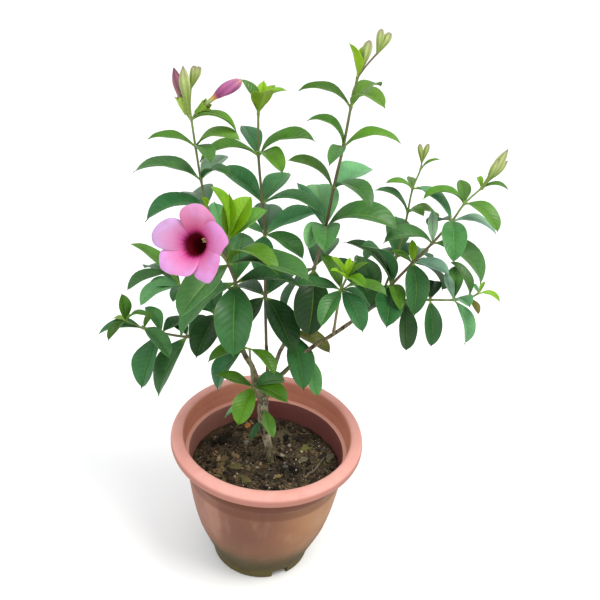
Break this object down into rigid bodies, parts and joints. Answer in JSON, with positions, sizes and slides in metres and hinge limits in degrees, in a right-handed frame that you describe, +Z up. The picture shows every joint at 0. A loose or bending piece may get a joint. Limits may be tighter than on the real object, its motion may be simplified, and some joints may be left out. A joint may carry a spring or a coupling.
{
  "type": "potted allamanda",
  "caption": "Flowering shrub with arched leaves in whorls, one open pink bloom and buds, standing in soil in a round pot with a rolled rim.",
  "frame": {"origin": "centre of the pot's underside, on the surface that the pot stands on", "axes": "+Z up along the pot's axis, +X to the right and +Y away as seen from the side where the open bloom faces the viewer"},
  "size_m": [0.3693, 0.2, 0.5946],
  "materials": {
    "clay_pot": "satin, clay-coloured, weathered",
    "soil": "rough, crumbly",
    "bark": "rough, grey-brown",
    "leaf": "satin",
    "young_leaf": "satin",
    "petal": "soft, matt",
    "rose_bud": "soft, matt"
  },
  "bodies": {
    "root": {"pot": "clay_pot", "soil": "soil", "trunk": "bark", "shoot_left_flowering": "leaf", "shoot_middle": "leaf", "shoot_right_tall": "leaf", "shoot_right_budded": "leaf", "shoot_right_thin": "leaf", "shoot_right_low": "leaf", "shoot_right_front": "young_leaf", "shoot_left_low": "leaf", "shoot_left_back": "leaf", "shoot_low_young": "young_leaf", "bloom": "petal", "bud_furled": "petal", "bud_rose": "rose_bud"}
  },
  "joints": []
}
